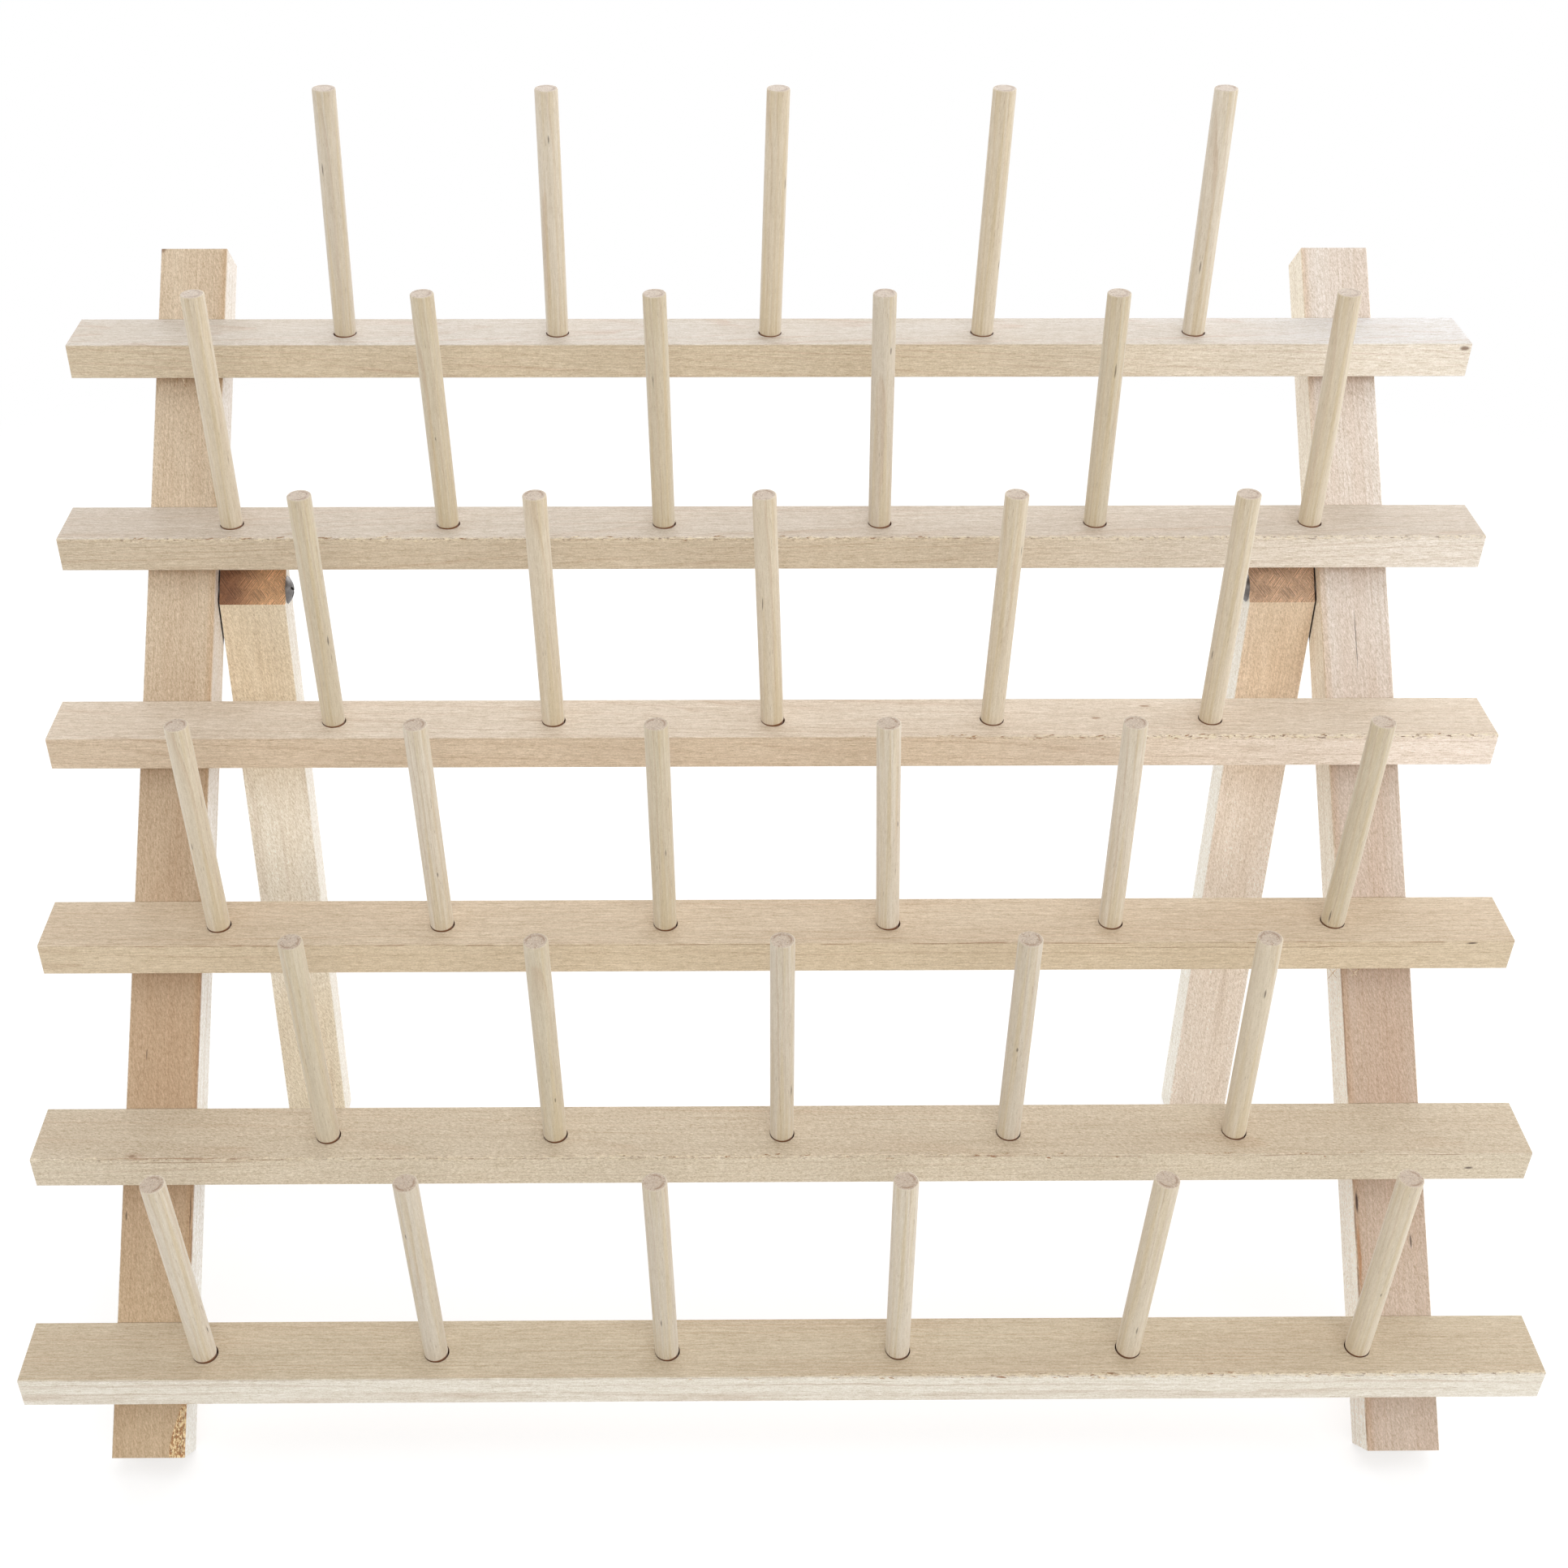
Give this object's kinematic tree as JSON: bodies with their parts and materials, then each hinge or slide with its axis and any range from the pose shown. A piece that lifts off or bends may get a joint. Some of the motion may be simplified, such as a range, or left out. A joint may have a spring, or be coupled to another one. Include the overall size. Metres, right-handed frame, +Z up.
{
  "type": "thread rack",
  "caption": "Folding wooden rack for thread spools: rows of pegs on tilted rails across leaning uprights, held up by hinged back legs.",
  "frame": {"origin": "on the floor, under the middle of the rack's box", "axes": "+X to the right seen from the front, +Y to the back, +Z up"},
  "size_m": [0.5098, 0.2759, 0.4168],
  "materials": {
    "rail_wood": "bare pale hardwood, planed, fine lengthwise grain, sawn ends",
    "upright_wood": "bare hardwood, sawn front with brown lengthwise grain, paler sides",
    "leg_wood": "bare pale yellowish hardwood, planed",
    "peg_wood": "bare turned dowel, smooth, cream",
    "hinge_steel": "dark bronzed steel, satin",
    "screw_steel": "zinc-plated steel, satin"
  },
  "bodies": {
    "rack": {"left_upright": "upright_wood", "right_upright": "upright_wood", "rail_1": "rail_wood", "rail_2": "rail_wood", "rail_3": "rail_wood", "rail_4": "rail_wood", "rail_5": "rail_wood", "rail_6": "rail_wood", "peg_1_1": "peg_wood", "peg_1_2": "peg_wood", "peg_1_3": "peg_wood", "peg_1_4": "peg_wood", "peg_1_5": "peg_wood", "peg_2_1": "peg_wood", "peg_2_2": "peg_wood", "peg_2_3": "peg_wood", "peg_2_4": "peg_wood", "peg_2_5": "peg_wood", "peg_2_6": "peg_wood", "peg_3_1": "peg_wood", "peg_3_2": "peg_wood", "peg_3_3": "peg_wood", "peg_3_4": "peg_wood", "peg_3_5": "peg_wood", "peg_4_1": "peg_wood", "peg_4_2": "peg_wood", "peg_4_3": "peg_wood", "peg_4_4": "peg_wood", "peg_4_5": "peg_wood", "peg_4_6": "peg_wood", "peg_5_1": "peg_wood", "peg_5_2": "peg_wood", "peg_5_3": "peg_wood", "peg_5_4": "peg_wood", "peg_5_5": "peg_wood", "peg_6_1": "peg_wood", "peg_6_2": "peg_wood", "peg_6_3": "peg_wood", "peg_6_4": "peg_wood", "peg_6_5": "peg_wood", "peg_6_6": "peg_wood", "left_hinge_screw": "hinge_steel", "right_hinge_screw": "hinge_steel", "left_hinge_washer": "screw_steel", "right_hinge_washer": "screw_steel", "left_rail_screws": "screw_steel", "right_rail_screws": "screw_steel"},
    "left_leg": {"left_leg": "leg_wood"},
    "right_leg": {"right_leg": "leg_wood"}
  },
  "joints": [
    {"name": "left_leg_hinge", "type": "hinge", "parent": "rack", "child": "left_leg", "pos_m": [-0.18925, 0.05361, 0.24593], "axis": [-1, 0, 0], "range_deg": [0, 31]},
    {"name": "right_leg_hinge", "type": "hinge", "parent": "rack", "child": "right_leg", "pos_m": [0.18635, 0.05361, 0.24593], "axis": [-1, 0, 0], "range_deg": [0, 31]}
  ]
}
